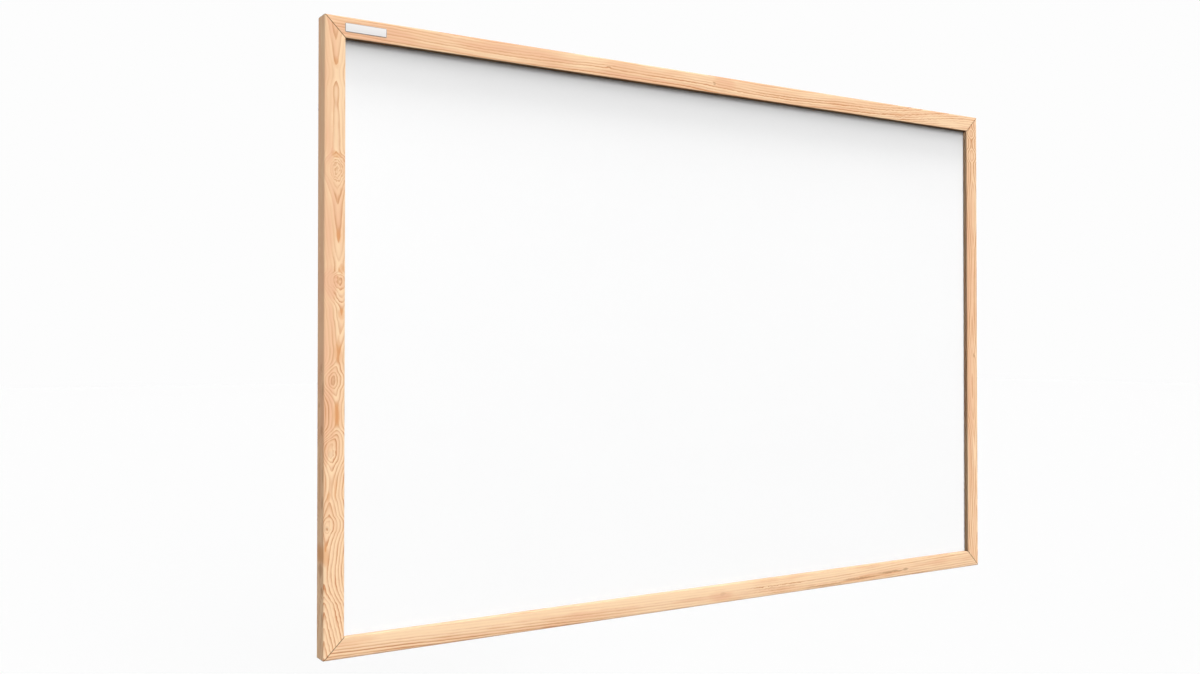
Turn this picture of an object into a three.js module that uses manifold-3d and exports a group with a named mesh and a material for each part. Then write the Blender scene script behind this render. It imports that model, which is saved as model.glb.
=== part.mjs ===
// A whiteboard in a mitred pine frame, to hang on a wall.
// Millimetres, +X to the right, +Z up, the writing side faces -Y.
// The origin lies on the wall, behind the middle of the board.
import * as THREE from 'three';
import { mergeVertices } from 'three/addons/utils/BufferGeometryUtils.js';
import Module from 'manifold-3d';

// Outside size of the board
const boardWidth = 900;
const boardHeight = 600;

// Frame moulding. The face is what shows from the front, the lip covers the panel's margin
const frameFace = 20;
const frameDepth = 19;
const lipDepth = 5.8;
const rabbetWidth = 7;
const outerArris = 1.8;
const innerArris = 0.9;
const backEase = 0.7;
const mitreGlueLine = 0.3;

// Panel, from front to back: steel sheet, core, backing sheet. The frame stands behind it by backRecess
const sheetThickness = 0.4;
const backingThickness = 0.4;
const backRecess = 2.7;
const panelClearance = 0.6;
const glueLine = 0.2;

// Corner nails, V-shaped strips driven across each mitre from the back
const nailLeg = 5;
const nailThickness = 0.7;
const nailHeight = 10;
const nailSunk = 0.3;
const nailHalfAngle = THREE.MathUtils.degToRad(50);
const nailInsetShares = [0.27, 0.69];

// Panel points, flat steel tabs pushed into the rabbet wall behind the panel
const pointThickness = 0.5;
const pointWidth = 6;
const pointHold = 7;
const pointReach = 8;
const pointTaper = 3;
const pointNose = 3;
const railPointCount = 4;
const stilePointCount = 2;

// Fasteners sit in the wood with this gap all round
const embedClearance = 0.3;
const cutOverrun = 2;

// Blank label plate on the top rail
const labelLength = 41;
const labelHeight = 8.5;
const labelThickness = 0.4;
const labelCorner = 1;
const labelFromLeft = 19.5;

// Hangers on the backs of the stiles: a strap rolled round a D-shaped wire ring
const hangerFromTop = 80;
const hangerEdgeMargin = 0.5;
const strapWidth = 9;
const strapThickness = 0.9;
const strapEnd = 5;
const rollEndAngle = THREE.MathUtils.degToRad(-80);
const wireDiameter = 1.8;
const ringDrop = 12;
const ringSideGap = 0.7;
const ringJointGap = 0.6;
const hingeClearance = 0.3;

// Hanger screws
const screwBelowRing = 3;
const shankDiameter = 3;
const shankLength = 12;
const tipLength = 3;
const headDiameter = 6;
const headHeight = 1.8;
const headEdge = 0.5;
const recessSpan = 3.2;
const recessWidth = 0.8;
const recessDepth = 1;

// Rubber pads between the board and the wall
const bumperDiameter = 10;
const hangerWallGap = 0.8;
const bumperEdge = 0.8;
const bumperFromEnd = 30;

// Fineness of the curved surfaces
const arrisSegments = 5;
const labelSegments = 4;
const rollSegments = 20;
const strapEndSegments = 12;
const wireSegments = 5;
const ringSteps = 52;
const roundSides = 24;
const edgeSegments = 3;

// Hanger sizes that follow: the wire's axis over the frame's back, and the reach of ring and strap
const hingeRise = wireDiameter / 2 + hingeClearance + strapThickness;
const ringHalf = strapWidth / 2 + ringSideGap + wireDiameter / 2;
const hangerInset = hangerEdgeMargin + ringHalf + wireDiameter / 2;
const screwBelowHinge = ringDrop + headDiameter / 2 + screwBelowRing;
const strapLength = screwBelowHinge + strapEnd;
const bumperHeight = 2 * hingeRise + hangerWallGap;

// Planes, measured along Y from the wall
const backPlane = -bumperHeight;
const frontPlane = backPlane - frameDepth;
const sheetFront = frontPlane + lipDepth + glueLine;
const coreFront = sheetFront + sheetThickness + glueLine;
const backingFront = backPlane - backRecess - backingThickness;
const pointFront = backPlane - backRecess + embedClearance;

// Sizes that follow from the moulding
const halfWidth = boardWidth / 2;
const halfHeight = boardHeight / 2;
const backWidth = frameFace - rabbetWidth;
const panelWidth = boardWidth - 2 * (backWidth + panelClearance);
const panelHeight = boardHeight - 2 * (backWidth + panelClearance);

const pine = new THREE.MeshStandardMaterial({ color: 0xf1c49a, roughness: 0.45, metalness: 0 });
const lacquer = new THREE.MeshStandardMaterial({ color: 0xf7f7f6, roughness: 0.2, metalness: 0 });
const fibreboard = new THREE.MeshStandardMaterial({ color: 0xb08d62, roughness: 0.9, metalness: 0 });
const aluminium = new THREE.MeshStandardMaterial({ color: 0xc9cbcc, roughness: 0.45, metalness: 1 });
const steel = new THREE.MeshStandardMaterial({ color: 0xb9bcc0, roughness: 0.35, metalness: 1 });
const labelWhite = new THREE.MeshStandardMaterial({ color: 0xf2f2f0, roughness: 0.35, metalness: 0 });
const rubber = new THREE.MeshStandardMaterial({ color: 0x3a3b3d, roughness: 0.8, metalness: 0 });

const board = new THREE.Group();

function add(name, geometry, material) {
  const mesh = new THREE.Mesh(geometry, material);
  mesh.name = name;
  board.add(mesh);
}

// Booleans

const wasm = await Module();
wasm.setup();

function toSolid(geometry) {
  const bare = geometry.clone();
  bare.deleteAttribute('normal');
  bare.deleteAttribute('uv');
  const merged = mergeVertices(bare);
  return new wasm.Manifold(new wasm.Mesh({
    numProp: 3,
    vertProperties: merged.attributes.position.array,
    triVerts: new Uint32Array(merged.index.array),
  }));
}

function toGeometry(solid) {
  const mesh = solid.getMesh();
  const geometry = new THREE.BufferGeometry();
  geometry.setAttribute('position', new THREE.BufferAttribute(mesh.vertProperties, mesh.numProp));
  geometry.setIndex(new THREE.BufferAttribute(mesh.triVerts, 1));
  geometry.computeVertexNormals();
  return geometry;
}

function cut(geometry, cutters) {
  let solid = toSolid(geometry);
  for (const cutter of cutters) solid = solid.subtract(toSolid(cutter));
  return toGeometry(solid);
}

// A shape drawn in X and Z, with its thickness along +Y from the plane y
function plate(shape, y, thickness, curveSegments) {
  const geometry = new THREE.ExtrudeGeometry(shape, { depth: thickness, bevelEnabled: false, curveSegments });
  return geometry.rotateX(Math.PI / 2).translate(0, y + thickness, 0);
}

function roundedRectangle(width, height, radius) {
  const shape = new THREE.Shape();
  const x = width / 2 - radius;
  const z = height / 2 - radius;
  shape.absarc(x, -z, radius, -Math.PI / 2, 0);
  shape.absarc(x, z, radius, 0, Math.PI / 2);
  shape.absarc(-x, z, radius, Math.PI / 2, Math.PI);
  shape.absarc(-x, -z, radius, Math.PI, Math.PI * 1.5);
  return shape;
}

// Corner nails

// A V of even thickness, its point at the origin and its legs opening towards -Y of the shape
function veeShape(leg, thickness) {
  const sin = Math.sin(nailHalfAngle);
  const cos = Math.cos(nailHalfAngle);
  const half = thickness / 2;
  const end = (side, offset) => [side * (leg * sin + offset * cos), -(leg * cos - offset * sin)];
  const outer = [0, half / sin];
  const inner = [0, -half / sin];
  const outline = [outer, end(-1, half), end(-1, -half), inner, end(1, -half), end(1, half)];
  return new THREE.Shape(outline.map(([x, y]) => new THREE.Vector2(x, y)));
}

function nail(sideX, sideZ, insetShare, clearance) {
  const inset = insetShare * backWidth;
  const shape = veeShape(nailLeg + clearance, nailThickness + 2 * clearance);
  const front = backPlane - nailSunk - nailHeight - clearance;
  const back = backPlane - nailSunk + (clearance ? cutOverrun : 0);
  // the V points at the outer corner, so it turns from +Z towards that corner
  const turn = Math.atan2(sideX, sideZ);
  return plate(shape, front, back - front).rotateY(turn)
    .translate(sideX * (halfWidth - inset), 0, sideZ * (halfHeight - inset));
}

const corners = [
  { name: 'top_left', x: -1, z: 1 },
  { name: 'top_right', x: 1, z: 1 },
  { name: 'bottom_left', x: -1, z: -1 },
  { name: 'bottom_right', x: 1, z: -1 },
];

const nailPockets = [];
for (const corner of corners) {
  nailInsetShares.forEach((share, order) => {
    add(`v_nail_${corner.name}_${order + 1}`, nail(corner.x, corner.z, share, 0), steel);
    nailPockets.push(nail(corner.x, corner.z, share, embedClearance));
  });
}

// The four sides of the frame. turn brings the top of the frame to the side

const railSize = { length: boardWidth, outer: halfHeight, pointCount: railPointCount };
const stileSize = { length: boardHeight, outer: halfWidth, pointCount: stilePointCount };
const sides = [
  { name: 'top_rail', turn: 0, ...railSize },
  { name: 'right_stile', turn: Math.PI / 2, ...stileSize },
  { name: 'bottom_rail', turn: Math.PI, ...railSize },
  { name: 'left_stile', turn: -Math.PI / 2, ...stileSize },
];

// Panel points

// Half a tab is over the panel, the other half ends in a blunt point inside the wood
function pointShape(clearance) {
  const half = pointWidth / 2 + clearance;
  const hold = pointHold + clearance;
  const reach = pointReach + clearance;
  const nose = pointNose / 2 + clearance;
  const shape = new THREE.Shape();
  shape.moveTo(-half, -reach);
  shape.lineTo(half, -reach);
  shape.lineTo(half, hold - pointTaper);
  shape.lineTo(nose, hold);
  shape.lineTo(-nose, hold);
  shape.lineTo(-half, hold - pointTaper);
  return shape;
}

function panelPoint(side, order, clearance) {
  const pitch = (side.length - 2 * backWidth) / side.pointCount;
  const along = (order - (side.pointCount - 1) / 2) * pitch;
  const tab = plate(pointShape(clearance), pointFront - clearance, pointThickness + 2 * clearance);
  return tab.translate(along, 0, side.outer - backWidth).rotateY(side.turn);
}

const pointSlots = [];
for (const side of sides) {
  for (let order = 0; order < side.pointCount; order += 1) {
    add(`panel_point_${side.name}_${order + 1}`, panelPoint(side, order, 0), steel);
    pointSlots.push(panelPoint(side, order, embedClearance));
  }
}

// Hangers

const hangers = [
  { name: 'left', x: -(halfWidth - hangerInset), z: halfHeight - hangerFromTop },
  { name: 'right', x: halfWidth - hangerInset, z: halfHeight - hangerFromTop },
];

// A round cutter along Y that leaves the screw's shank its clearance
function shankCutter(length) {
  const radius = shankDiameter / 2 + embedClearance;
  return new THREE.CylinderGeometry(radius, radius, length, roundSides);
}

function shankHole(hanger) {
  const depth = shankLength + embedClearance;
  const length = depth + cutOverrun;
  return shankCutter(length).translate(hanger.x, backPlane - depth + length / 2, hanger.z - screwBelowHinge);
}

// The strap's edge seen from +X: a flat leaf that rolls over the wire towards the wall.
// Shape X is the height over the frame's back, shape Y the height over the hinge line
function strapEdge() {
  const inner = hingeRise - strapThickness;
  const shape = new THREE.Shape();
  shape.moveTo(0, -strapLength);
  shape.lineTo(0, 0);
  shape.absarc(hingeRise, 0, hingeRise, Math.PI, rollEndAngle, true);
  shape.absarc(hingeRise, 0, inner, rollEndAngle, Math.PI, false);
  shape.lineTo(strapThickness, -strapLength);
  return shape;
}

function strap() {
  const leaf = new THREE.ExtrudeGeometry(
    strapEdge(), { depth: strapWidth, bevelEnabled: false, curveSegments: rollSegments });
  // shape X, shape Y and depth become Y, Z and X
  leaf.applyMatrix4(new THREE.Matrix4().set(0, 0, 1, -strapWidth / 2, 1, 0, 0, 0, 0, 1, 0, 0, 0, 0, 0, 1));
  // the leaf's free end is round
  const radius = strapWidth / 2;
  const top = 2 * hingeRise;
  const outline = new THREE.Shape();
  outline.moveTo(radius, top);
  outline.lineTo(-radius, top);
  outline.absarc(0, -strapLength + radius, radius, Math.PI, 2 * Math.PI);
  const round = plate(outline, -cutOverrun, 2 * (hingeRise + cutOverrun), strapEndSegments);
  const hole = shankCutter(2 * (strapThickness + cutOverrun)).translate(0, 0, -screwBelowHinge);
  return toGeometry(toSolid(leaf).intersect(toSolid(round)).subtract(toSolid(hole)));
}

// A flat path drawn in X and Z
class FlatPath extends THREE.Curve {
  constructor(path) {
    super();
    this.path = path;
  }

  getPoint(share, target = new THREE.Vector3()) {
    const point = this.path.getPoint(share);
    return target.set(point.x, 0, point.y);
  }
}

// The wire's two ends meet at a narrow joint inside the rolled strap
function ring() {
  const straight = strapWidth / 2;
  const corner = ringHalf - straight;
  const foot = ringDrop - wireDiameter / 2;
  const path = new THREE.Path();
  path.moveTo(-ringJointGap / 2, 0);
  path.lineTo(-straight, 0);
  path.absarc(-straight, -corner, corner, Math.PI / 2, Math.PI, false);
  path.absarc(0, -(foot - ringHalf), ringHalf, Math.PI, 2 * Math.PI, false);
  path.absarc(straight, -corner, corner, 0, Math.PI / 2, false);
  path.lineTo(ringJointGap / 2, 0);
  const section = new THREE.Shape();
  section.absarc(0, 0, wireDiameter / 2, 0, 2 * Math.PI);
  return new THREE.ExtrudeGeometry(section, {
    steps: ringSteps, curveSegments: wireSegments, bevelEnabled: false, extrudePath: new FlatPath(path),
  });
}

function screw() {
  const shank = shankDiameter / 2;
  const head = headDiameter / 2;
  const profile = [
    new THREE.Vector2(0, -shankLength),
    new THREE.Vector2(shank, -shankLength + tipLength),
    new THREE.Vector2(shank, strapThickness),
    new THREE.Vector2(head, strapThickness),
  ];
  const rise = headHeight - headEdge;
  for (let step = 0; step <= edgeSegments; step += 1) {
    const angle = (Math.PI / 2) * (step / edgeSegments);
    profile.push(new THREE.Vector2(
      head - rise * (1 - Math.cos(angle)), strapThickness + headEdge + rise * Math.sin(angle)));
  }
  profile.push(new THREE.Vector2(0, strapThickness + headHeight));
  const body = new THREE.LatheGeometry(profile, roundSides);
  const slots = [0, Math.PI / 2].map((turn) => {
    const slot = new THREE.BoxGeometry(recessSpan, 2 * recessDepth, recessWidth);
    return slot.rotateY(turn).translate(0, strapThickness + headHeight, 0);
  });
  return cut(body, slots);
}

for (const hanger of hangers) {
  const place = (geometry, rise, drop) => geometry.translate(hanger.x, backPlane + rise, hanger.z - drop);
  add(`hanger_strap_${hanger.name}`, place(strap(), 0, 0), steel);
  add(`hanger_ring_${hanger.name}`, place(ring(), hingeRise, 0), steel);
  add(`hanger_screw_${hanger.name}`, place(screw(), 0, screwBelowHinge), steel);
}

// Frame

// The moulding's section: shape X runs from the outer edge inwards, shape Y from the front to the back
function mouldingSection() {
  const shape = new THREE.Shape();
  shape.absarc(frameFace - innerArris, innerArris, innerArris, -Math.PI / 2, 0, false);
  shape.lineTo(frameFace, lipDepth);
  shape.lineTo(backWidth, lipDepth);
  shape.lineTo(backWidth, frameDepth);
  shape.lineTo(backEase, frameDepth);
  shape.lineTo(0, frameDepth - backEase);
  shape.absarc(outerArris, outerArris, outerArris, Math.PI, Math.PI * 1.5, false);
  return shape;
}

// A length of moulding at the top of the frame, each end cut along the mitre
function mitredLength(length, outer) {
  const geometry = new THREE.ExtrudeGeometry(
    mouldingSection(), { depth: 1, bevelEnabled: false, curveSegments: arrisSegments });
  const position = geometry.attributes.position;
  const pull = (mitreGlueLine / 2) * Math.SQRT2;
  for (let i = 0; i < position.count; i += 1) {
    const inwards = position.getX(i);
    const reach = length / 2 - inwards - pull;
    position.setXYZ(i, (2 * position.getZ(i) - 1) * reach, frontPlane + position.getY(i), outer - inwards);
  }
  return geometry;
}

const pockets = [...nailPockets, ...pointSlots, ...hangers.map(shankHole)];
for (const side of sides) {
  const moulding = mitredLength(side.length, side.outer).rotateY(side.turn);
  add(side.name, cut(moulding, pockets), pine);
}

// Panel

function panelLayer(name, front, thickness, material) {
  const layer = new THREE.BoxGeometry(panelWidth, thickness, panelHeight);
  add(name, layer.translate(0, front + thickness / 2, 0), material);
}

panelLayer('writing_sheet', sheetFront, sheetThickness, lacquer);
panelLayer('core_board', coreFront, backingFront - glueLine - coreFront, fibreboard);
panelLayer('backing_sheet', backingFront, backingThickness, aluminium);

// Label plate, flat on the top rail's face

const labelOutline = roundedRectangle(labelLength, labelHeight, labelCorner);
const label = plate(labelOutline, frontPlane - labelThickness, labelThickness, labelSegments);
label.translate(-halfWidth + labelFromLeft + labelLength / 2, 0, halfHeight - frameFace / 2);
add('label_plate', label, labelWhite);

// Wall bumpers, round pads with an eased rear edge

function bumper() {
  const radius = bumperDiameter / 2;
  const profile = [new THREE.Vector2(0, -bumperHeight), new THREE.Vector2(radius, -bumperHeight)];
  for (let step = 0; step <= edgeSegments; step += 1) {
    const angle = (Math.PI / 2) * (step / edgeSegments);
    profile.push(new THREE.Vector2(
      radius - bumperEdge * (1 - Math.cos(angle)), -bumperEdge * (1 - Math.sin(angle))));
  }
  profile.push(new THREE.Vector2(0, 0));
  return new THREE.LatheGeometry(profile, roundSides);
}

for (const corner of corners) {
  const x = corner.x * (halfWidth - bumperFromEnd);
  const z = corner.z * (halfHeight - backWidth / 2);
  add(`wall_bumper_${corner.name}`, bumper().translate(x, 0, z), rubber);
}

export default board;
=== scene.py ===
from collections import namedtuple
from math import cos, pi, radians, sin, sqrt

import bmesh
import bpy
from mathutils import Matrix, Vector


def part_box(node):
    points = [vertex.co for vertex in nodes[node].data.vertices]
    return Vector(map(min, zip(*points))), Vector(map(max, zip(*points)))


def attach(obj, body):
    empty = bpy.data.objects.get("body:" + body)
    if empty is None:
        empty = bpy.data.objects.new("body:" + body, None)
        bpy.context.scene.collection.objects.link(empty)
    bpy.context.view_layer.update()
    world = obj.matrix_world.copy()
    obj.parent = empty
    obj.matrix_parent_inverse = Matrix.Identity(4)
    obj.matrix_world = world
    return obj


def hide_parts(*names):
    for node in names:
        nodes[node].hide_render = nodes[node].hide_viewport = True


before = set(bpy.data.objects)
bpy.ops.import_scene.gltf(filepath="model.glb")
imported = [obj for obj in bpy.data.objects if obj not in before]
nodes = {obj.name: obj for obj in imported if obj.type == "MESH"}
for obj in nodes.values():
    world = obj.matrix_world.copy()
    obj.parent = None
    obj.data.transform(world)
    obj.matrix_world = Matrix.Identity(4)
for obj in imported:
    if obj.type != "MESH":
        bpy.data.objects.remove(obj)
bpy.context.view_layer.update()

# A whiteboard in a mitred pine frame. Metres, +X to the right, +Z up, the writing side faces -Y
MM = 0.001

# Planes and outer size of the frame
half_width = -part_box("left_stile")[0].x
half_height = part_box("top_rail")[1].z
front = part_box("top_rail")[0].y
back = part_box("top_rail")[1].y

# Moulding
face = half_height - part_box("top_rail")[0].z
depth = back - front
glue_line = 0.2 * MM
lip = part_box("writing_sheet")[0].y - glue_line - front
rabbet = 7 * MM
outer_arris = 1.8 * MM
inner_arris = 0.9 * MM
back_ease = 0.7 * MM
mitre_gap = 0.01 * MM
mitre_ease = 0.18 * MM
arris_steps = 9
station_pitch = 15 * MM
pocket_clearance = 0.3 * MM
pocket_overrun = 1 * MM

# The four sides: which way the length runs, and which way is inwards
Side = namedtuple("Side", "name along inward length outer")
sides = [
    Side("top_rail", Vector((1, 0, 0)), Vector((0, 0, -1)), 2 * half_width, half_height),
    Side("right_stile", Vector((0, 0, 1)), Vector((-1, 0, 0)), 2 * half_height, half_width),
    Side("bottom_rail", Vector((1, 0, 0)), Vector((0, 0, 1)), 2 * half_width, half_height),
    Side("left_stile", Vector((0, 0, 1)), Vector((1, 0, 0)), 2 * half_height, half_width),
]


def srgb(red, green, blue):
    """A colour as it is written for a screen, 0 to 255, in the linear numbers that shaders take."""
    def linear(level):
        share = level / 255
        return share / 12.92 if share <= 0.04045 else ((share + 0.055) / 1.055) ** 2.4
    return (linear(red), linear(green), linear(blue), 1)


# Node helpers

class Value:
    """A number that a material works out at each point, so that its nodes can be written as a sum."""

    def __init__(self, graph, socket):
        self.graph = graph
        self.socket = socket

    def math(self, operation, *others):
        node = self.graph.add("Math", operation=operation)
        for socket, value in zip(node.inputs, (self, *others)):
            self.graph.feed(socket, value)
        return Value(self.graph, node.outputs[0])

    def __add__(self, other):
        return self.math("ADD", other)

    def __sub__(self, other):
        return self.math("SUBTRACT", other)

    def __mul__(self, other):
        return self.math("MULTIPLY", other)

    def __truediv__(self, other):
        return self.math("DIVIDE", other)

    def squared(self):
        return self * self

    def ramp(self, low, high, to_low=0.0, to_high=1.0):
        """Goes smoothly from to_low to to_high as the number goes from low to high."""
        node = self.graph.add("MapRange", interpolation_type="SMOOTHSTEP")
        for socket, value in zip(node.inputs, (self, low, high, to_low, to_high)):
            self.graph.feed(socket, value)
        return Value(self.graph, node.outputs[0])

    def curve(self, points, low=0.0, high=1.0):
        """Follows a smooth curve through (number, result) points."""
        first, last = points[0][0], points[-1][0]
        node = self.graph.add("FloatCurve")
        line = node.mapping.curves[0]
        while len(line.points) < len(points):
            line.points.new(0.5, 0.5)
        for point, (number, result) in zip(line.points, points):
            point.location = ((number - first) / (last - first), (result - low) / (high - low))
            point.handle_type = "AUTO_CLAMPED"
        node.mapping.update()
        self.graph.feed(node.inputs["Value"], (self - first) / (last - first))
        return Value(self.graph, node.outputs[0]) * (high - low) + low


class Graph:
    """The nodes of one material, or of the world."""

    def __init__(self, owner):
        owner.use_nodes = True
        self.owner = owner
        self.tree = owner.node_tree
        self.tree.nodes.clear()

    def add(self, kind, **settings):
        node = self.tree.nodes.new("ShaderNode" + kind)
        for setting, value in settings.items():
            setattr(node, setting, value)
        return node

    def feed(self, socket, value):
        value = getattr(value, "socket", value)
        if isinstance(value, bpy.types.NodeSocket):
            self.tree.links.new(value, socket)
        else:
            socket.default_value = value

    def place(self):
        """The point's place on the object, in metres."""
        return self.add("TexCoord").outputs["Object"]

    def measure(self, place, way, offset=0.0):
        """How far the place is in one direction, in millimetres."""
        node = self.add("VectorMath", operation="DOT_PRODUCT")
        self.feed(node.inputs[0], place)
        self.feed(node.inputs[1], Vector(way) / MM)
        return Value(self, node.outputs["Value"]) + offset / MM

    def measures(self):
        """How far the point is along X, Y and Z, in millimetres."""
        place = self.place()
        return [self.measure(place, way) for way in ((1, 0, 0), (0, 1, 0), (0, 0, 1))]

    def noise(self, measures, sizes, seed=0.0, detail=2.0):
        """Smooth noise from -1 to 1, whose features have the given sizes along each measure."""
        joined = self.add("CombineXYZ")
        for socket, measure, size in zip(joined.inputs, measures, sizes):
            self.feed(socket, measure / size + seed)
        node = self.add("TexNoise")
        self.feed(node.inputs["Vector"], joined.outputs[0])
        self.feed(node.inputs["Scale"], 1.0)
        self.feed(node.inputs["Detail"], detail)
        return (Value(self, node.outputs[0]) - 0.5) * 2

    def dice(self, number):
        """A random share from 0 to 1 that is the same wherever the number is the same."""
        node = self.add("TexWhiteNoise", noise_dimensions="1D")
        self.feed(node.inputs["W"], number)
        return Value(self, node.outputs["Value"])

    def blend(self, share, colour, other):
        """One colour going over into another."""
        node = self.add("Mix", data_type="RGBA", blend_type="MIX", clamp_factor=True)
        self.feed(node.inputs[0], share)
        self.feed(node.inputs[6], colour)
        self.feed(node.inputs[7], other)
        return node.outputs[2]

    def shade(self, colour, level):
        """The colour made lighter or darker."""
        node = self.add("VectorMath", operation="SCALE")
        self.feed(node.inputs[0], colour[:3] if isinstance(colour, tuple) else colour)
        self.feed(node.inputs["Scale"], level)
        return node.outputs["Vector"]

    def bump(self, height, distance, strength=1.0):
        node = self.add("Bump")
        self.feed(node.inputs["Height"], height)
        self.feed(node.inputs["Distance"], distance)
        self.feed(node.inputs["Strength"], strength)
        return node.outputs["Normal"]

    def finish(self, **inputs):
        """A Principled surface. Underscores in a name stand for the spaces in the socket's."""
        shader = self.add("BsdfPrincipled")
        for socket, value in inputs.items():
            self.feed(shader.inputs[socket.replace("_", " ")], value)
        self.feed(self.add("OutputMaterial").inputs[0], shader.outputs[0])
        return self.owner


# Pine

# How one length of pine grew. Places along it are in millimetres from its middle, places across it
# in millimetres from its outer edge, and the rings are counted outwards from the heart.
# turns: (along, ring) where the face cuts the rings above the heart. It makes the arches and eyes
# heart: (along, across) of the line that the arches are centred on
# spread, hollow: millimetres between rings at the sides of the arches, and how round their tips are
# knots: (along, across, half length, half width, rings that it lifts, how dark it is)
# stains: (along, across, half length, half width, how strong) of resin-rich spots
# faint: (along, across, half length, half width, how much) of places where the rings show less, or,
# where it is negative, more
# curls: (along, across, half length, half width, rings) of places where the grain is wavy
# tints: (along, across, half length, half width, how much) of pinker places, or paler ones below 0
# marks: (along, distance from the front, half length, half width, how dark) of spots on the outer side
Growth = namedtuple("Growth", "turns heart spread hollow knots stains faint curls tints marks seed")

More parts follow.
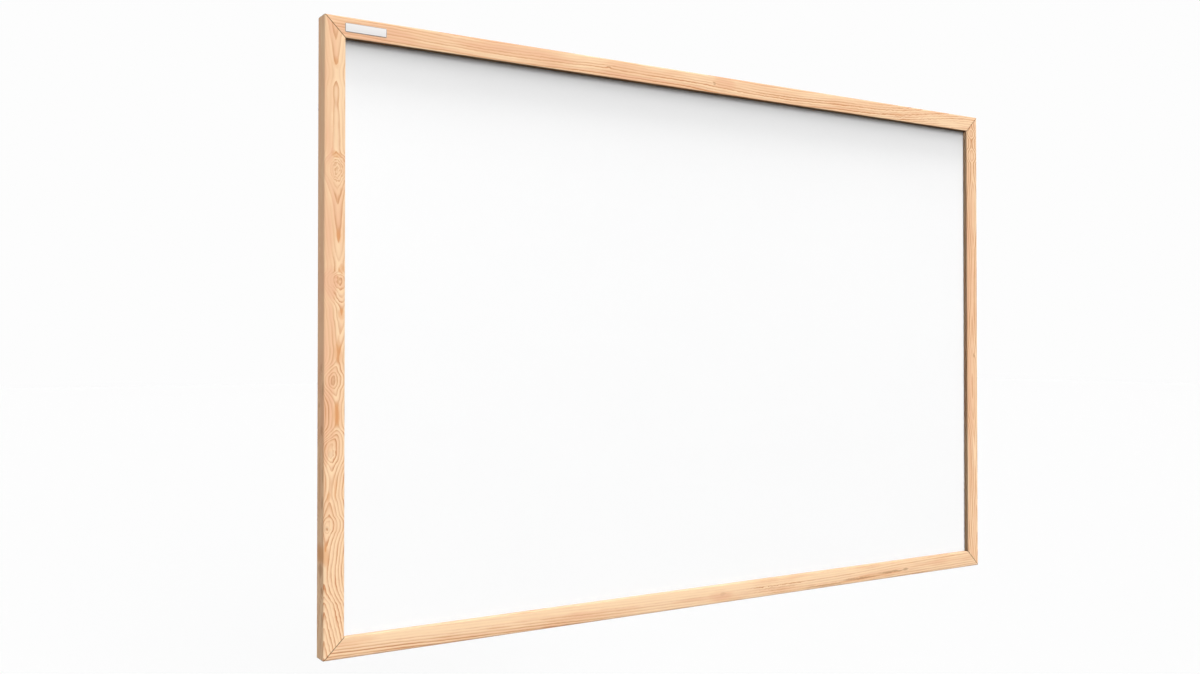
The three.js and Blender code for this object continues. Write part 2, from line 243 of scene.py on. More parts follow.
growths = {
    "left_stile": Growth(
        turns=[
            (-300, 0.3), (-250, 3.7), (-205, 7.0), (-183, 6.2), (-177, 5.6), (-167, 6.9),
            (-154, 8.0), (-141, 8.8), (-124, 8.0), (-112, 6.2), (-105, 5.7), (-95, 7.1),
            (-88, 8.6), (-80, 9.88), (-73, 9.93), (-66, 9.88), (-58, 9.3), (-48, 8.0),
            (-41, 7.1), (-34, 8.0), (-27, 9.1), (-19, 9.9), (-6, 9.4), (14, 8.3),
            (18, 7.97), (24, 7.85), (34, 6.3), (45, 4.6), (52, 3.6), (58, 4.8),
            (65, 6.05), (75, 5.6), (90, 5.0), (97, 4.86), (108, 4.5), (123, 4.0),
            (137, 3.0), (147, 1.9), (155, 0.9), (163, 1.9), (168, 2.9), (172, 4.0),
            (180, 4.35), (208, 4.5), (217, 4.66), (222, 4.55), (229, 4.45), (235, 4.7),
            (239, 5.0), (246, 5.25), (253, 5.0), (256, 4.75), (260, 4.55), (266, 4.35),
            (275, 4.0), (300, 2.8),
        ],
        heart=[
            (-300, -2.0), (-230, -1.5), (-205, 1.0), (-177, 3.5), (-150, 5.5), (-120, 7.5),
            (-106, 6.0), (-92, 11.5), (-73, 12.5), (-58, 12.0), (-41, 8.6), (-25, 12.5),
            (0, 15.0), (30, 16.8), (52, 14.8), (68, 14.0), (95, 13.5), (125, 12.8),
            (155, 11.7), (190, 11.0), (240, 11.0), (300, 10.2),
        ],
        spread=3.2, hollow=2.2,
        knots=[(-41, 8.6, 5, 3, -0.5, 0.15), (-177, 3.4, 4, 2.4, -0.8, 0.3), (-109, 6, 5, 3, -0.6, 0.15),
               (155, 11.7, 9, 6, -1.3, 0.0)],
        stains=[(-73, 12.3, 11, 3.0, 0.9), (21, 16.3, 5, 3.2, 0.8), (94, 13.5, 6, 2.4, 0.8),
                (-14, 13.7, 10, 3.2, 0.7), (-202, 1.5, 9, 3.0, 0.95), (170, 11.5, 3.5, 4.5, 0.7),
                (255, 11, 4.5, 3, 0.45), (63, 16, 4, 2.6, 0.7),
                (-150, 4.5, 5, 1.4, 0.6), (-141, 11, 12, 1.3, 0.5), (-2, 14.5, 4, 1.2, 0.5)],
        faint=[(140, 1.5, 190, 8, 0.75), (257, 19, 60, 6.5, 0.5), (-255, 10, 60, 16, -0.15)],
        curls=[(155, 11.7, 15, 9, 1.0), (50, 11, 14, 9, 0.7), (-41, 8.4, 9, 7, 0.3), (-108, 7, 9, 6, 0.6),
               (-177, 4, 9, 6, 0.4), (-260, 10, 60, 16, 0.25)],
        tints=[(130, 2, 220, 9, 0.35), (196, 11.5, 30, 4, -0.6), (50, 6, 14, 7, 0.5),
               (-255, 10, 60, 16, -1.0), (-130, 8, 22, 5, -0.9), (-80, 4, 40, 5, 0.3),
               (229, 11, 7, 2.4, -0.8)],
        marks=[(-29, 8, 4, 2.5, 0.2), (-49, 3.5, 7, 2.5, 0.3), (-64, 13, 3, 2, 0.25), (-88, 7, 5, 3, 0.3),
               (-128, 3, 7, 2, 0.25), (-155, 4.5, 6, 3, 0.35), (-217, 9, 6, 6, 0.4), (-236, 5, 4, 3, 0.4),
               (-262, 4, 8, 3, 0.3)],
        seed=3.1,
    ),
    "top_rail": Growth(
        turns=[(-450, 2.0), (-250, 1.2), (-100, 2.2), (60, 1.4), (200, 2.8), (300, 4.5),
               (370, 7.5), (420, 9.0), (450, 9.4)],
        heart=[(-450, -9.0), (0, -7.0), (220, -5.0), (450, -4.0)],
        spread=2.9, hollow=2.0,
        knots=[(-137, 9, 3, 1.6, 0.5, 0.3), (5, 9, 3, 1.6, 0.5, 0.4)],
        stains=[(300, 12, 10, 2, 0.3)],
        faint=[(395, 14, 22, 3, 0.6), (-340, 8, 170, 14, 0.25), (0, 3, 300, 5, 0.5), (60, 15, 260, 6, -0.3)],
        curls=[(330, 9, 110, 12, 0.4), (60, 14, 160, 6, 0.25), (-250, 10, 140, 8, 0.2)],
        tints=[(-400, 12, 40, 9, 0.6), (-250, 8, 60, 8, 0.45), (-110, 12, 30, 10, 0.4), (20, 8, 14, 9, 0.5),
               (395, 14, 25, 4, -0.8)],
        marks=[(-210, 8, 9, 3, 0.3), (96, 12, 5, 2, 0.3)],
        seed=11.7,
    ),
    "bottom_rail": Growth(
        turns=[(-450, 0.9), (-380, 0.6), (-316, 0.0), (-227, -0.6), (-110, -1.5), (0, -1.9), (130, -2.2),
               (313, -0.6), (450, 0.2)],
        heart=[(-450, 24.5), (450, 23.5)],
        spread=2.9, hollow=1.0,
        knots=[(312, 8.5, 6, 2.2, 0.9, 0.5), (286, 7.6, 28, 1.6, 0.2, 0.5), (232, 5.2, 38, 1.5, 0.2, 0.45),
               (175, 3.0, 38, 1.4, 0.2, 0.35), (16, 10, 5, 2.5, 0.4, 0.15)],
        stains=[(270, 6.0, 44, 2.2, 0.5), (190, 3.4, 60, 1.8, 0.4)],
        faint=[(-80, 18.5, 440, 8, 0.75), (30, 4, 60, 9, 0.3), (-340, 5, 150, 8, -0.4),
               (-160, 7, 90, 7, -0.3), (92, 10, 36, 8, -0.9)],
        curls=[(92, 10, 50, 9, 0.5), (-160, 8, 90, 9, 0.2)],
        tints=[(-180, 3, 60, 5, 0.3), (14, 10, 16, 7, 0.45), (-330, 15, 90, 6, -0.4), (180, 12, 60, 6, -0.7),
               (-60, 16, 120, 6, -0.4)],
        marks=[(250, 6, 14, 3, 0.35)],
        seed=23.9,
    ),
    "right_stile": Growth(
        turns=[(-300, 2.0), (-230, 4.8), (-150, 6.0), (-60, 4.0), (10, 5.5), (100, 6.2), (180, 5.0),
               (236, 6.2), (246, 5.1), (258, 6.3), (268, 6.6), (276, 5.3), (284, 6.4), (300, 7.0)],
        heart=[(-300, 0.0), (-150, 6.0), (0, 11.0), (150, 8.0), (240, 10.0), (300, 12.0)],
        spread=3.6, hollow=1.8,
        knots=[(-20, 7, 4, 2, 0.8, 0.4)],
        stains=[(120, 9, 8, 2, 0.4)],
        faint=[],
        curls=[(250, 9, 30, 9, 0.2)],
        tints=[(0, 14, 200, 8, 0.3)],
        marks=[(-150, 10, 6, 4, 0.4), (64, 5, 10, 2, 0.25)],
        seed=41.3,
    ),
}

pale_wood = srgb(252, 218, 179)
early_wood = srgb(245, 203, 163)
pink_wood = srgb(241, 192, 156)
late_wood = srgb(211, 147, 103)
resin_wood = srgb(224, 158, 104)
knot_wood = srgb(168, 105, 66)
glue_brown = srgb(112, 66, 34)

# In millimetres: the depth from one ring to the next, how far a spot on the outer side comes round to
# the face, and how far from a mitre the brown of the glue is full and gone
ring_depth = 3.4
mark_reach = 2.5
glue_full = 0.3
glue_gone = 0.65

# How deep the rings and the fibres go into the lacquered surface
relief_height = 0.03 * MM


def pine(side, growth):
    """Clear lacquered pine with the rings of one length of moulding."""
    g = Graph(bpy.data.materials.new("pine_" + side.name))
    place = g.place()
    along = g.measure(place, side.along)
    across = g.measure(place, side.inward, side.outer)
    inside = g.measure(place, (0, 1, 0), -front)
    spots = (along, across, inside)

    def curve(points):
        results = [result for _, result in points]
        return along.curve(points, min(results), max(results))

    drift = g.noise(spots, (70, 20, 20), growth.seed)
    ripple = g.noise(spots, (13, 4.5, 6), growth.seed + 5)
    wave = g.noise(spots, (4.5, 2.6, 4), growth.seed + 13, 1)

    warped_along = along + ripple * 4
    warped_across = across + ripple * 1.5 + wave * 0.8

    def within(middle_along, middle_across, half_length, half_width):
        """The squared distance from the middle of an irregular spot, where 1 is its rim."""
        length = (warped_along - middle_along) / half_length
        width = (warped_across - middle_across) / half_width
        return length.squared() + width.squared()

    # Ring count at the point
    off = across - curve(growth.heart) + drift * 0.8
    arch = ((off.squared() + growth.hollow ** 2).math("SQRT") - growth.hollow) / growth.spread
    rings = curve(growth.turns) + arch + inside / ring_depth + drift * 0.35 + ripple * 0.17
    for *spot, lift, _ in growth.knots:
        rings = rings + (within(*spot) * -1).math("EXPONENT") * lift
    for *spot, curl in growth.curls:
        rings = rings + (within(*spot) * -1).math("EXPONENT") * wave * curl

    # Each ring is pale early wood that darkens to a late wood line, with its own strength
    share = rings.math("FRACT")
    ring = rings.math("FLOOR") + growth.seed
    patch = g.noise(spots, (45, 3.5, 6), growth.seed + 31)
    strength = (g.dice(ring) * 0.65 + 0.35) * patch.ramp(-0.45, 0.45, 0.55, 1.2)
    for *spot, loss in growth.faint:
        strength = strength * (within(*spot).ramp(1.4, 0.5) * -loss + 1.0)
    full = share.curve([(0, 0), (0.25, 0.06), (0.5, 0.3), (0.7, 0.75), (0.85, 1), (0.94, 0.9), (1, 0)])
    late = full * strength

    fibre = g.noise(spots, (14, 0.35, 0.35), growth.seed, 3)
    streak = g.noise(spots, (50, 1.8, 1.8), growth.seed + 2, 2)
    cloud = g.noise(spots, (45, 9, 9), growth.seed + 9)
    blush = g.noise(spots, (90, 14, 14), growth.seed + 21)

    warmth = g.dice(ring + 50) * 0.45 + cloud * 0.5 + blush * 0.4 + streak * 0.2
    for *spot, pink in growth.tints:
        warmth = warmth + within(*spot).ramp(1.8, 0.1) * pink
    colour = g.blend(warmth.ramp(0.0, 0.5), pale_wood, early_wood)
    colour = g.blend(warmth.ramp(0.35, 0.9) * 0.9, colour, pink_wood)
    colour = g.blend(late, colour, late_wood)
    for *spot, rich in growth.stains:
        resin = within(*spot).ramp(2.0, 0.1) * rich * (full * 0.4 + 0.6)
        colour = g.blend(resin, colour, resin_wood)
    for *spot, _, dark in growth.knots:
        colour = g.blend(within(*spot).ramp(1.0, 0.1) * dark, colour, knot_wood)
    for middle_along, middle_inside, half_length, half_width, dark in growth.marks:
        length = (warped_along - middle_along) / half_length
        width = (inside + wave * 0.8 - middle_inside) / half_width
        rim = length.squared() + width.squared() + (across / mark_reach).squared()
        colour = g.blend(rim.ramp(1.6, 0.1) * dark, colour, knot_wood)
    colour = g.shade(colour, fibre * 0.02 + streak * 0.03 + 1.0)

    # A thin line of glue shows at the mitres
    reach = along.math("ABSOLUTE") * -1 + side.length / 2 / MM - across
    colour = g.blend(reach.ramp(glue_gone, glue_full) * 0.9, colour, glue_brown)

    relief = fibre * 0.35 - late * 0.5
    return g.finish(
        Base_Color=colour,
        Roughness=fibre * 0.05 + 0.6,
        Normal=g.bump(relief, relief_height, 0.5),
        Specular_IOR_Level=0.04,
    )


# Other materials, and how deep their fine textures are

grain_height = 0.004 * MM
peel_height = 0.006 * MM
texture_height = 0.02 * MM
fibre_height = 0.08 * MM


def metal(name, colour, rough, grain_sizes, seed, spread, metallic=1.0):
    """Bare, plated or primed metal with a fine rolled grain and faint clouds."""
    g = Graph(bpy.data.materials.new(name))
    spots = g.measures()
    grain = g.noise(spots, grain_sizes, seed, 3)
    cloud = g.noise(spots, (9, 9, 9), seed + 4, 3)
    tone = g.shade(colour, grain * spread * 0.5 + cloud * spread + 1.0)
    return g.finish(
        Base_Color=tone,
        Metallic=metallic,
        Roughness=grain * 0.05 + cloud * 0.06 + rough,
        Normal=g.bump(grain, grain_height),
    )


def lacquered_steel():
    """White lacquer on steel: almost flat, with a faint orange peel and marks of wiping."""
    g = Graph(bpy.data.materials.new("white_lacquer"))
    spots = g.measures()
    cloud = g.noise(spots, (160, 160, 90), 2.0, 2)
    peel = g.noise(spots, (2.2, 2.2, 2.2), 0.0, 2)
    wipe = g.noise(spots, (140, 30, 16), 7.0, 3)
    return g.finish(
        Base_Color=g.shade(srgb(251, 251, 251), cloud * 0.006 + wipe * 0.003 + 0.992),
        Roughness=wipe * 0.03 + 0.3,
        Normal=g.bump(peel, peel_height, 0.5),
        Specular_IOR_Level=0.25,
    )


def moulded_rubber():
    """Dark rubber with a fine moulded texture."""
    g = Graph(bpy.data.materials.new("rubber"))
    spots = g.measures()
    fine = g.noise(spots, (0.3, 0.3, 0.3), 0.0, 3)
    cloud = g.noise(spots, (6, 6, 6), 3.0, 2)
    return g.finish(
        Base_Color=g.shade(srgb(58, 59, 61), fine * 0.08 + cloud * 0.08 + 1.0),
        Roughness=fine * 0.06 + 0.72,
        Normal=g.bump(fine, texture_height, 0.5),
    )


def fibreboard():
    """Pressed wood fibres, matted in the plane of the board."""
    g = Graph(bpy.data.materials.new("fibreboard"))
    spots = g.measures()
    fibres = g.noise(spots, (3, 0.3, 3), 1.0, 4)
    cloud = g.noise(spots, (12, 4, 12), 6.0, 3)
    colour = g.blend(fibres.ramp(-0.6, 0.6), srgb(150, 116, 78), srgb(196, 160, 116))
    return g.finish(
        Base_Color=g.shade(colour, cloud * 0.08 + 1.0),
        Roughness=0.9,
        Normal=g.bump(fibres, fibre_height),
    )


# Mesh helpers

same_point = 0.0001 * MM
sharp_angle = radians(30)


def put(name, data):
    """A new object in the scene."""
    made = bpy.data.objects.new(name, data)
    bpy.context.scene.collection.objects.link(made)
    return made


def mesh_of(name, bm):
    """Turns the bmesh into a mesh, and frees it."""
    mesh = bpy.data.meshes.new(name)
    bm.to_mesh(mesh)
    bm.free()
    return mesh


def new_piece(name, bm, body, material, replaced):
    """Turns a bmesh into a piece that rides on a body and stands for the CAD nodes."""
    bmesh.ops.remove_doubles(bm, verts=bm.verts, dist=same_point)
    bmesh.ops.recalc_face_normals(bm, faces=bm.faces)
    mesh = mesh_of(name, bm)
    mesh.materials.append(material)
    mesh.shade_smooth()
    mesh.set_sharp_from_angle(angle=sharp_angle)
    piece = put(name, mesh)
    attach(piece, body)
    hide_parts(*replaced)
    return piece


def carve(piece, cutter, crossing=False):
    """Cuts a shape, whose parts may cross, out of the piece's mesh. The shading normals that the shape
    brings are dropped."""
    cut = piece.modifiers.new("cut", "BOOLEAN")
    cut.operation = "DIFFERENCE"
    cut.solver = "EXACT"
    cut.use_self = crossing
    cut.object = cutter
    graph = bpy.context.evaluated_depsgraph_get()
    made = bpy.data.meshes.new_from_object(piece.evaluated_get(graph))
    brought = made.attributes.get("custom_normal")
    if brought:
        made.attributes.remove(brought)
    made.set_sharp_from_angle(angle=sharp_angle)
    piece.modifiers.clear()
    piece.data = made


def arc(centre, radius, start, end, steps):
    """Points of an arc, angles in degrees."""
    points = []
    for step in range(steps + 1):
        angle = radians(start + (end - start) * step / steps)
        points.append((centre[0] + radius * cos(angle), centre[1] + radius * sin(angle)))
    return points


def inset(points, distance):
    """A closed outline, listed anticlockwise, moved inwards by the distance."""
    moved = []
    for i, point in enumerate(points):
        here = Vector(point)
        before = (here - Vector(points[i - 1])).normalized()
        after = (Vector(points[(i + 1) % len(points)]) - here).normalized()
        normal = Vector((-before.y - after.y, before.x + after.x)).normalized()
        shift = distance / normal.dot(Vector((-after.y, after.x)))
        moved.append(tuple(here + normal * shift))
    return moved


def wall(bm, rings):
    """Faces between neighbouring rings of points. Gives the rings' corners."""
    made = [[bm.verts.new(point) for point in ring] for ring in rings]
    for first, second in zip(made, made[1:]):
        for i in range(len(first)):
            j = (i + 1) % len(first)
            bm.faces.new((first[i], first[j], second[j], second[i]))
    return made


def loft(bm, rings):
    """A wall round the rings, with a face over each end."""
    made = wall(bm, rings)
    bm.faces.new(list(reversed(made[0])))
    bm.faces.new(made[-1])


# Frame

def moulding_outline():
    """The moulding's section: distance from the outer edge, and from the front."""
    inner = arc((face - inner_arris, inner_arris), inner_arris, -90, 0, arris_steps)
    outer = arc((outer_arris, outer_arris), outer_arris, 180, 270, arris_steps)
    back_edge = [
        (face, lip),
        (face - rabbet, lip),
        (face - rabbet, depth),
        (back_ease, depth),
        (0, depth - back_ease),
    ]
    return inner + back_edge + outer


def moulding(side):
    """One length of moulding, cut along the mitres, whose edges are slightly eased."""
    outline = moulding_outline()
    tip = inset(outline, mitre_ease)
    pull = mitre_gap / 2 * sqrt(2)
    slope = mitre_ease * sqrt(2)

    def ring(section, way, short):
        points = []
        for inwards, deep in section:
            reach = side.length / 2 - inwards - pull - short
            place = side.along * (way * reach) + side.inward * (inwards - side.outer)
            points.append(place + Vector((0, front + deep, 0)))
        return points

    start, end = ring(outline, -1, slope), ring(outline, 1, slope)
    count = round(side.length / station_pitch)
    rings = [ring(tip, -1, 0)]
    for step in range(count + 1):
        rings.append([a.lerp(b, step / count) for a, b in zip(start, end)])
    rings.append(ring(tip, 1, 0))
    bm = bmesh.new()
    loft(bm, rings)
    return bm


pocket_merge = 0.001 * MM
pocket_rear = 0.01 * MM
pocket_flat = radians(0.5)


def pockets(names):
    """The shapes of the fasteners grown by their clearance, to cut their pockets with. The corner
    nails' pockets run out through the back."""
    bm = bmesh.new()
    for name in names:
        grown = bmesh.new()
        grown.from_mesh(nodes[name].data)
        bmesh.ops.remove_doubles(grown, verts=grown.verts, dist=pocket_merge)
        bmesh.ops.recalc_face_normals(grown, faces=grown.faces)
        bmesh.ops.dissolve_limit(grown, angle_limit=pocket_flat, verts=grown.verts, edges=grown.edges)
        grown.normal_update()
        moves = [vert.normal * (pocket_clearance * vert.calc_shell_factor()) for vert in grown.verts]
        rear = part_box(name)[1].y - pocket_rear
        for vert, move in zip(grown.verts, moves):
            opens = name.startswith("v_nail") and vert.co.y > rear
            vert.co += move
            if opens:
                vert.co.y += pocket_overrun
        bmesh.ops.triangulate(grown, faces=grown.faces)
        spare = mesh_of("pocket", grown)
        bm.from_mesh(spare)
        bpy.data.meshes.remove(spare)
    return put("pockets", mesh_of("pockets", bm))


fasteners = [name for name in nodes if name.startswith(("v_nail", "panel_point", "hanger_screw"))]
cutter = pockets(fasteners)
for side in sides:
    material = pine(side, growths[side.name])
    rail = new_piece("pine_" + side.name, moulding(side), "board", material, [side.name])
    carve(rail, cutter)
bpy.data.objects.remove(cutter)


# CAD nodes that stay get their finish, and eased edges

fastener_ease = 0.08 * MM
strap_ease = 0.12 * MM
panel_ease = 0.1 * MM
ease_steps = 2
eased_angle = radians(35)


def dress(name, material, ease):
    node = nodes[name]
    node.data.materials.clear()
    node.data.materials.append(material)
    bevel = node.modifiers.new("eased edges", "BEVEL")
    bevel.width = ease
    bevel.segments = ease_steps
    bevel.limit_method = "ANGLE"
    bevel.angle_limit = eased_angle


zinc = metal("zinc_steel", srgb(180, 184, 190), 0.45, (0.5, 0.5, 0.5), 1.0, 0.06)
for name in nodes:
    if name.startswith(("v_nail", "panel_point")):
        dress(name, zinc, fastener_ease)
    if name.startswith("hanger_strap"):
        dress(name, zinc, strap_ease)
dress("writing_sheet", lacquered_steel(), panel_ease)
dress("core_board", fibreboard(), panel_ease)
primed = metal("backing", srgb(192, 194, 196), 0.55, (60, 1, 0.4), 9.0, 0.03, metallic=0.3)
dress("backing_sheet", primed, panel_ease)


# Label plate: blank, with round corners and a softly eased rim

label_corner = 1 * MM
label_ease = 0.15 * MM
label_corner_steps = 8
label_ease_steps = 4
label_height = 0.008 * MM

# In millimetres from the plate's edge: where its painted shade, a brown line that stands in for the shade
# along the cut edge, is full and gone
label_shade_full = 0.2
label_shade_gone = 0.65


def label_plate():
    low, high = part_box("label_plate")
    middle = (low + high) / 2
    half = (high - low) / 2
    thick = high.y - low.y

    def ring(shrink, rise):
        """The plate's outline, drawn in by shrink, at a height over the wood."""
        radius = label_corner - shrink
        x, z = half.x - label_corner, half.z - label_corner
        points = []
        for turn, (right, up) in enumerate(((1, 1), (-1, 1), (-1, -1), (1, -1))):
            points += arc((right * x, up * z), radius, turn * 90, turn * 90 + 90, label_corner_steps)
        return [Vector((middle.x + a, high.y - rise, middle.z + b)) for a, b in points]

    rings = [ring(0, 0)]
    for a, b in arc((0, 0), label_ease, 0, 90, label_ease_steps):
        rings.append(ring(label_ease - a, thick - label_ease + b))
    bm = bmesh.new()
    loft(bm, rings)
    return bm


def label_finish():
    """Smooth white plastic, with painted shade: a brown line along its cut edge stands in for the shade
    there.
    """
    g = Graph(bpy.data.materials.new("label"))
    low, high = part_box("label_plate")
    middle, half = (low + high) / 2 / MM, (high - low) / 2 / MM
    spots = g.measures()
    to_end = (spots[0] - middle.x).math("ABSOLUTE") * -1 + half.x
    to_side = (spots[2] - middle.z).math("ABSOLUTE") * -1 + half.z
    # The rim is painted shade, full at the plate's edge and gone further in
    rim = to_end.math("MINIMUM", to_side).ramp(label_shade_full, label_shade_gone, 1.0, 0.0)
    fine = g.noise(spots, (0.5, 0.5, 0.5), 0.0, 3)
    cloud = g.noise(spots, (9, 9, 5), 3.0, 2)
    # Painted shade: the brown stands in for the shade along the plate's cut edge
    colour = g.blend(rim * 0.85, srgb(234, 232, 231), srgb(126, 108, 90))
    return g.finish(
        Base_Color=g.shade(colour, fine * 0.008 + cloud * 0.012 + 0.99),
        Roughness=cloud * 0.04 + 0.36,
        Normal=g.bump(fine, label_height, 0.5),
    )


new_piece("blank_label", label_plate(), "board", label_finish(), ["label_plate"])


# Round pieces: a profile is (radius, height over the seat) and turns about a line along Y

round_sides = 64


def lathe(profile, centre):
    """Turns a profile, which begins and ends on the axis, about the line through the centre."""
    x, y, z = centre
    rings = []
    for radius, height in profile[1:-1]:
        ring = []
        for i in range(round_sides):
            angle = 2 * pi * i / round_sides
            ring.append((x + radius * cos(angle), y + height, z + radius * sin(angle)))
        rings.append(ring)
    bm = bmesh.new()
    made = wall(bm, rings)
    for ring, (_, height) in ((made[0], profile[0]), (made[-1], profile[-1])):
        pole = bm.verts.new((x, y + height, z))
        for i in range(round_sides):
            bm.faces.new((ring[i], ring[(i + 1) % round_sides], pole))
    return bm


# Wall bumpers: round pads with a flange at the wood and a shallow dish in the rear face

bumper_ease = 0.8 * MM
bumper_ease_steps = 8
bumper_rim = 1.1 * MM
bumper_flange = 0.25 * MM
flange_ease = 0.1 * MM
flange_height = 0.5 * MM
waist_height = 0.7 * MM
dish_depth = 0.35 * MM
dish_slope = 0.6 * MM
shoulder_slope = 0.25 * MM
shoulder_depth = 0.08 * MM


def bumper(name):
    low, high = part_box(name)
    radius = (high.x - low.x) / 2
    tall = high.y - low.y
    waist = radius - bumper_flange
    rim = waist - bumper_ease - bumper_rim
    profile = [
        (0, 0),
        (radius - flange_ease, 0),
        (radius, flange_ease),
        (radius, flange_height),
        (waist, waist_height),
    ]
    profile += arc((waist - bumper_ease, tall - bumper_ease), bumper_ease, 0, 90, bumper_ease_steps)
    profile += [
        (rim, tall),
        (rim - shoulder_slope, tall - shoulder_depth),
        (rim - dish_slope, tall - dish_depth),
        (0, tall - dish_depth),
    ]
    return lathe(profile, ((low.x + high.x) / 2, low.y, (low.z + high.z) / 2))


rubber = moulded_rubber()
for name in nodes:
    if name.startswith("wall_bumper"):
        new_piece("pad_" + name.removeprefix("wall_bumper_"), bumper(name), "board", rubber, [name])


# Hangers

ring_wire = 1.8 * MM
ring_gap = 0.6 * MM
wire_sides = 20
wire_ease = 0.15 * MM
ring_arc_steps = 28
ring_corner_steps = 10
strap_width = 9 * MM


def hanger_ring(name):
    """A D-shaped wire ring, whose ends meet inside the rolled strap."""
    low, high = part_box(name)
    half = (high.x - low.x - ring_wire) / 2
    middle = (low.x + high.x) / 2
    hinge_y, hinge_z = (low.y + high.y) / 2, high.z - ring_wire / 2
    straight = strap_width / 2
    corner = half - straight
    foot = low.z + ring_wire / 2 - hinge_z
    path = [(-ring_gap / 2, 0), (-ring_gap / 2 - wire_ease, 0)]
    path += arc((-straight, -corner), corner, 90, 180, ring_corner_steps)
    path += arc((0, foot + half), half, 180, 360, ring_arc_steps)
    path += arc((straight, -corner), corner, 0, 90, ring_corner_steps)
    path += [(ring_gap / 2 + wire_ease, 0), (ring_gap / 2, 0)]
    rings = []
    for i, point in enumerate(path):
        before, after = path[max(i - 1, 0)], path[min(i + 1, len(path) - 1)]
        ahead = (Vector(after) - Vector(before)).normalized()
        side = Vector((-ahead.y, ahead.x))
        radius = ring_wire / 2 - (wire_ease if i in (0, len(path) - 1) else 0)
        section = []
        for step in range(wire_sides):
            angle = 2 * pi * step / wire_sides
            flat = Vector(point) + side * (radius * cos(angle))
            section.append(Vector((middle + flat.x, hinge_y + radius * sin(angle), hinge_z + flat.y)))
        rings.append(section)
    bm = bmesh.new()
    loft(bm, rings)
    return bm


head_radius = 3 * MM
head_foot = 0.9 * MM
head_ease = 0.1 * MM
head_edge = 0.5 * MM
head_rise = 1.3 * MM
head_steps = 10
shank_radius = 1.5 * MM
tip_length = 3 * MM
tip_radius = 0.05 * MM
recess_span = 3.2 * MM
recess_width = 0.8 * MM
recess_depth = 1 * MM
recess_draft = 0.25


def screw(name):
    """A pan head screw, its head over the strap and its shank in the wood, and the top of its head."""
    low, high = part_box(name)
    centre = ((low.x + high.x) / 2, back, (low.z + high.z) / 2)
    tip = low.y - back
    shoulder = head_foot + head_edge
    profile = [
        (0, tip),
        (tip_radius, tip),
        (shank_radius, tip + tip_length),
        (shank_radius, head_foot),
        (head_radius - head_ease, head_foot),
        (head_radius, head_foot + head_ease),
    ]
    profile += arc((head_radius - head_rise, shoulder), head_rise, 0, 90, head_steps)
    profile.append((0, shoulder + head_rise))
    return lathe(profile, centre), Vector(centre) + Vector((0, high.y - back, 0))


def recess(top):
    """Two crossed slots with drafted walls, to cut the drive with."""
    bm = bmesh.new()
    for turn in (0, 1):
        rings = []
        for height, scale in ((-recess_depth, 1 - recess_draft), (recess_depth, 1 + recess_draft)):
            long, wide = recess_span / 2 * scale, recess_width / 2 * scale
            corners = [(-long, -wide), (long, -wide), (long, wide), (-long, wide)]
            if turn:
                corners = [(-b, a) for a, b in corners]
            rings.append([top + Vector((a, height, b)) for a, b in corners])
        loft(bm, rings)
    bmesh.ops.recalc_face_normals(bm, faces=bm.faces)
    return put("recess", mesh_of("recess", bm))


for hand in ("left", "right"):
    wire = "hanger_ring_" + hand
    new_piece("wire_" + hand, hanger_ring(wire), "ring_" + hand, zinc, [wire])
    shape, top = screw("hanger_screw_" + hand)
    piece = new_piece("screw_" + hand, shape, "board", zinc, ["hanger_screw_" + hand])
    cross = recess(top)
    carve(piece, cross, crossing=True)
    bpy.data.objects.remove(cross)


# Floor and backdrop

floor_level = -1.2
floor_reach = 40
paper_white = srgb(253, 253, 253)
floor_share = 0.5
floor_glow = 0.478


def only_seen(graph):
    """1 on the rays that see the backdrop: straight from the camera, by a gloss or through glass."""
    path = graph.add("LightPath")
    seen = Value(graph, path.outputs["Is Camera Ray"])
    seen = seen.math("MAXIMUM", path.outputs["Is Glossy Ray"])
    return seen.math("MAXIMUM", path.outputs["Is Transmission Ray"])


def floor_finish():
    """Matt, and as bright as the backdrop to the rays that see it."""
    g = Graph(bpy.data.materials.new("floor"))
    return g.finish(
        Base_Color=(floor_share, floor_share, floor_share, 1),
        Roughness=1.0,
        Specular_IOR_Level=0.0,
        Emission_Color=paper_white,
        Emission_Strength=only_seen(g) * floor_glow,
    )


# The floor takes shadows but casts none, because one of the bottom rail's lamps is below it
floor_mesh = bpy.data.meshes.new("floor")
floor_corners = [
    (x * floor_reach, y * floor_reach, floor_level) for x, y in ((-1, -1), (1, -1), (1, 1), (-1, 1))
]
floor_mesh.from_pydata(floor_corners, [], [(0, 1, 2, 3)])
floor_mesh.materials.append(floor_finish())
floor = put("floor", floor_mesh)
floor.visible_shadow = False


# Light. Each lamp is a wide, distant and soft one: (azimuth, elevation, width, level), where azimuth 0
# is straight in front of the board and 90 to its right, and a level of 1 lights a colour as written.
# Surfaces don't pass a lamp's light on to each other. The writing sheet has lamps of its own, whose fan
# up to overhead gives the long soft shadow under the top rail without burning out the frame's upper
# edges. The bottom rail has its own too, which reach both of its edges. The right stile is far from the
# left lamp and gets less of its light

Lamp = namedtuple("Lamp", "name azimuth elevation width level")
sheet_lamps = [
    Lamp("sheet_low", 8, 14, 16, 0.145),
    Lamp("sheet_key", 8, 33, 16, 0.222),
    Lamp("sheet_rise", 8, 44, 14, 0.286),
    Lamp("sheet_high", 8, 58, 16, 0.255),
    Lamp("sheet_steep", 0, 72, 14, 0.44),
    Lamp("sheet_overhead", 0, 84, 10, 1.7),
]
bottom_lamps = [
    Lamp("bottom_high", 10, 66, 24, 1.0),
    Lamp("bottom_front", -10, 5, 24, 0.31),
    Lamp("bottom_under", 0, -40, 20, 0.25),
]
front_lamps = [
    Lamp("key", 10, 52, 24, 0.77),
    Lamp("front_fill", -14, 14, 24, 0.45),
]
near_lamps = [
    Lamp("left", -72, 12, 20, 0.155),
]
far_lamps = [
    Lamp("left_far", -72, 12, 20, 0.05),
]
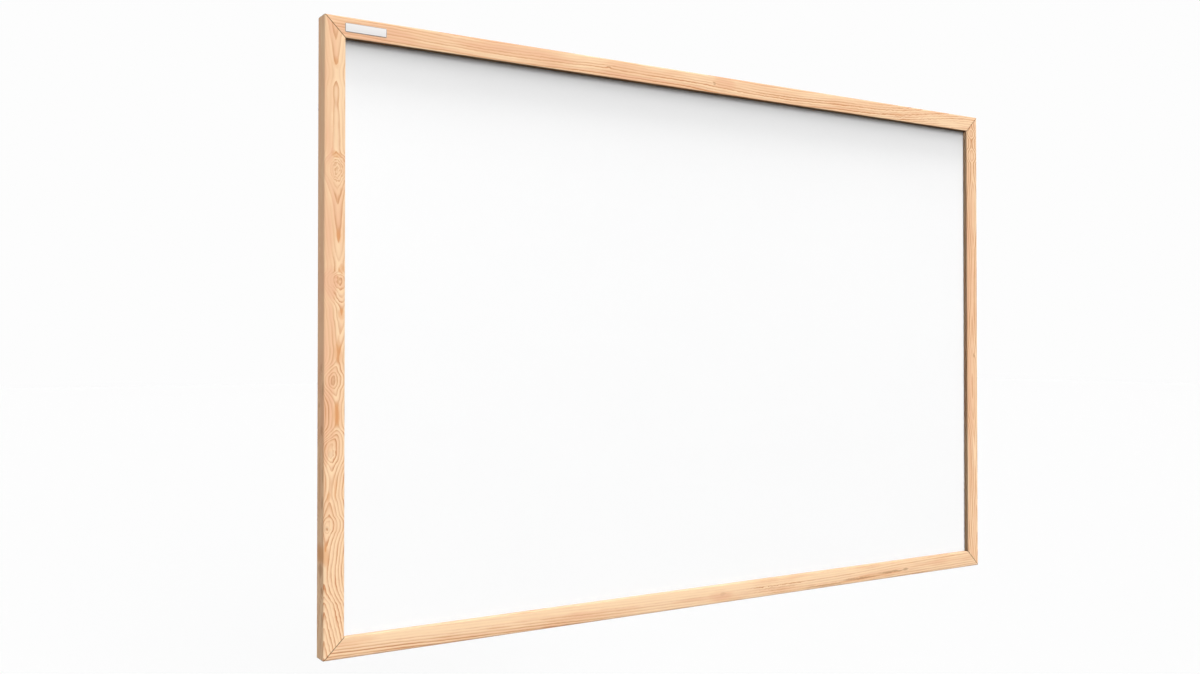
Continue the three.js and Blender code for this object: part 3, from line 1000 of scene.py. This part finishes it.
side_lamps = [
    Lamp("right", 84, 10, 20, 0.40),
    Lamp("back_left", -124, 8, 40, 0.26),
    Lamp("back_right", 165, 12, 50, 0.55),
]
sheet = nodes["writing_sheet"]
bottom = bpy.data.objects["pine_bottom_rail"]
far_stile = bpy.data.objects["pine_right_stile"]


def receivers(name, state, members):
    """What a group of lamps lights: only the members, or everything else."""
    group = bpy.data.collections.new(name)
    for member in members:
        group.objects.link(member)
    for entry in group.collection_objects:
        entry.light_linking.link_state = state
    return group


for group, lamps in (
    (receivers("lit_sheet", "INCLUDE", [sheet]), sheet_lamps),
    (receivers("lit_bottom", "INCLUDE", [bottom]), bottom_lamps),
    (receivers("lit_front", "EXCLUDE", [sheet, bottom]), front_lamps),
    (receivers("lit_near", "EXCLUDE", [sheet, far_stile]), near_lamps),
    (receivers("lit_far", "INCLUDE", [far_stile]), far_lamps),
    (receivers("lit_sides", "EXCLUDE", [sheet]), side_lamps),
):
    for lamp in lamps:
        light = bpy.data.lights.new(lamp.name, "SUN")
        light.energy = lamp.level * pi
        light.angle = radians(lamp.width)
        light.cycles.max_bounces = 0
        holder = put(lamp.name, light)
        turn, rise = radians(lamp.azimuth), radians(lamp.elevation)
        towards = Vector((sin(turn) * cos(rise), -cos(turn) * cos(rise), sin(rise)))
        holder.rotation_mode = "QUATERNION"
        holder.rotation_quaternion = towards.to_track_quat("Z", "Y")
        holder.light_linking.receiver_collection = group

# The room's own light comes mostly from above. It grows between two heights on a ball of radius 1
sky_level = 0.045
ground_level = 0.02
sky_height = 0.4
ground_height = -0.6


def light_room(world):
    """White to the rays that see it, and dim to the others."""
    room = Graph(world)
    height = room.add("SeparateXYZ")
    room.feed(height.inputs[0], room.add("TexCoord").outputs["Generated"])
    up = Value(room, height.outputs["Z"])
    dim = room.add("Background")
    room.feed(dim.inputs["Strength"], up.ramp(ground_height, sky_height, ground_level, sky_level))
    room.feed(dim.inputs["Color"], (1, 1, 1, 1))
    lit = room.add("Background")
    room.feed(lit.inputs["Color"], paper_white)
    mixed = room.add("MixShader")
    room.feed(mixed.inputs[0], only_seen(room))
    room.feed(mixed.inputs[1], dim.outputs[0])
    room.feed(mixed.inputs[2], lit.outputs[0])
    room.feed(room.add("OutputWorld").inputs[0], mixed.outputs[0])


world = bpy.data.worlds.new("room")
world.cycles.sampling_method = "NONE"
light_room(world)
bpy.context.scene.world = world

# Camera: where the photograph was taken from. Film and lens are in millimetres, angles in degrees
camera_place = (-0.8006, -1.0591, -0.0128)
camera_film = 36
camera_lens = 34.488
camera_turn = -32.207
camera_tilt = 0.665
camera_nearest = 0.01
camera_data = bpy.data.cameras.new("camera")
camera_data.sensor_width = camera_film
camera_data.lens = camera_lens
camera_data.clip_start = camera_nearest
camera = put("camera", camera_data)
camera.location = camera_place
camera.rotation_euler = (radians(90 + camera_tilt), 0, radians(camera_turn))
bpy.context.scene.camera = camera

bpy.context.scene.view_settings.view_transform = "Standard"
